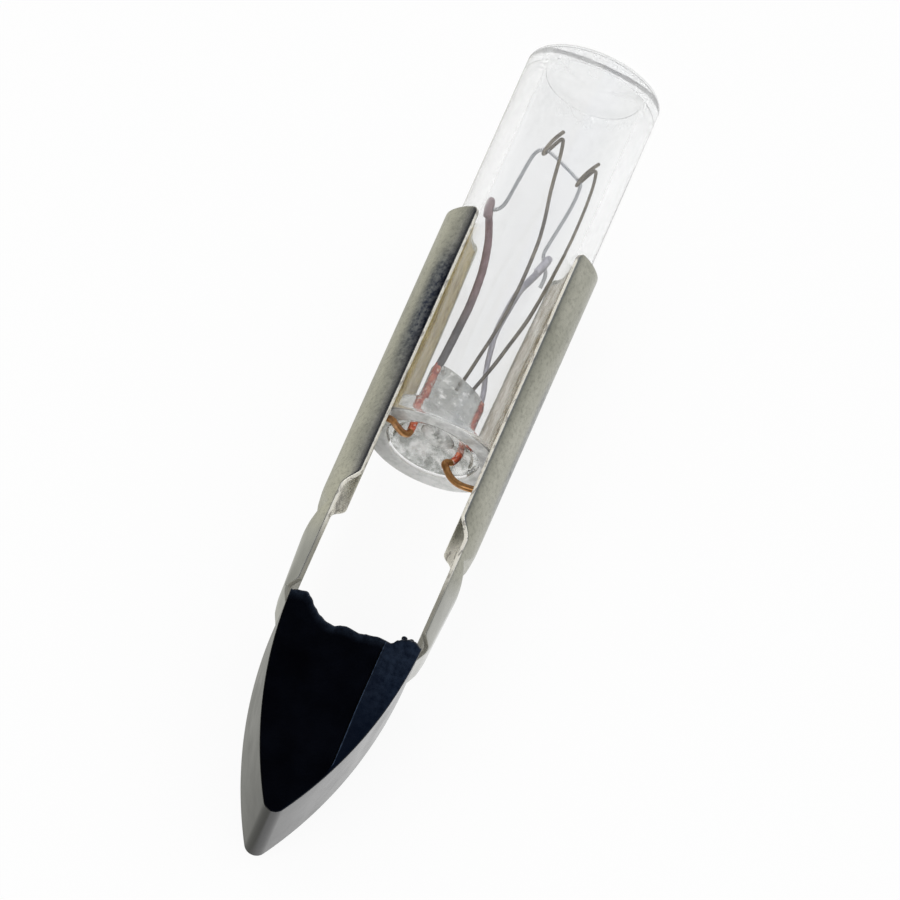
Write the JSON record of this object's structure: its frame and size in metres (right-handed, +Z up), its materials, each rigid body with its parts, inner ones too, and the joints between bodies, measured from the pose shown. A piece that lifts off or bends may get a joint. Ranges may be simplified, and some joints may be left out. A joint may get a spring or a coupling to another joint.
{
  "type": "indicator lamp",
  "caption": "Slide-base indicator lamp: a clear glass tube held between two bent contact plates that end in a black wedge, pushed into a lamp jack.",
  "frame": {"origin": "under the middle of the lamp, on the surface that its glass rests on", "axes": "+X across the two contact plates to the right one, +Y along the lamp from the wedge to the closed end of the glass, +Z up, out of the front that the picture shows"},
  "size_m": [0.0054, 0.03, 0.0047],
  "materials": {
    "bulb_glass": "clear, fire-polished",
    "stem_glass": "clear, pressed, slightly rippled and seeded",
    "seal_wire": "glazed red oxide, speckled",
    "inner_lead": "drawn wire, heat tinted",
    "outer_lead": "drawn copper, lightly oxidised",
    "support_wire": "drawn wire, dull",
    "filament": "fine coil, dull grey",
    "contact_plate": "nickel plated, softly polished, light tarnish",
    "solder": "dull tin-lead bead",
    "cement": "baked basing cement",
    "block": "black moulded phenolic, glossy"
  },
  "bodies": {
    "root": {"glass_bulb": "bulb_glass", "stem_press": "stem_glass", "exhaust_tip": "stem_glass", "seal_wire_left": "seal_wire", "seal_wire_right": "seal_wire", "inner_lead_left": "inner_lead", "inner_lead_right": "inner_lead", "outer_lead_left": "outer_lead", "outer_lead_right": "outer_lead", "support_wire_left": "support_wire", "support_wire_right": "support_wire", "filament": "filament", "contact_plate_left": "contact_plate", "contact_plate_right": "contact_plate", "solder_left": "solder", "solder_right": "solder", "cement_left": "cement", "cement_right": "cement", "wedge_block": "block"}
  },
  "joints": []
}
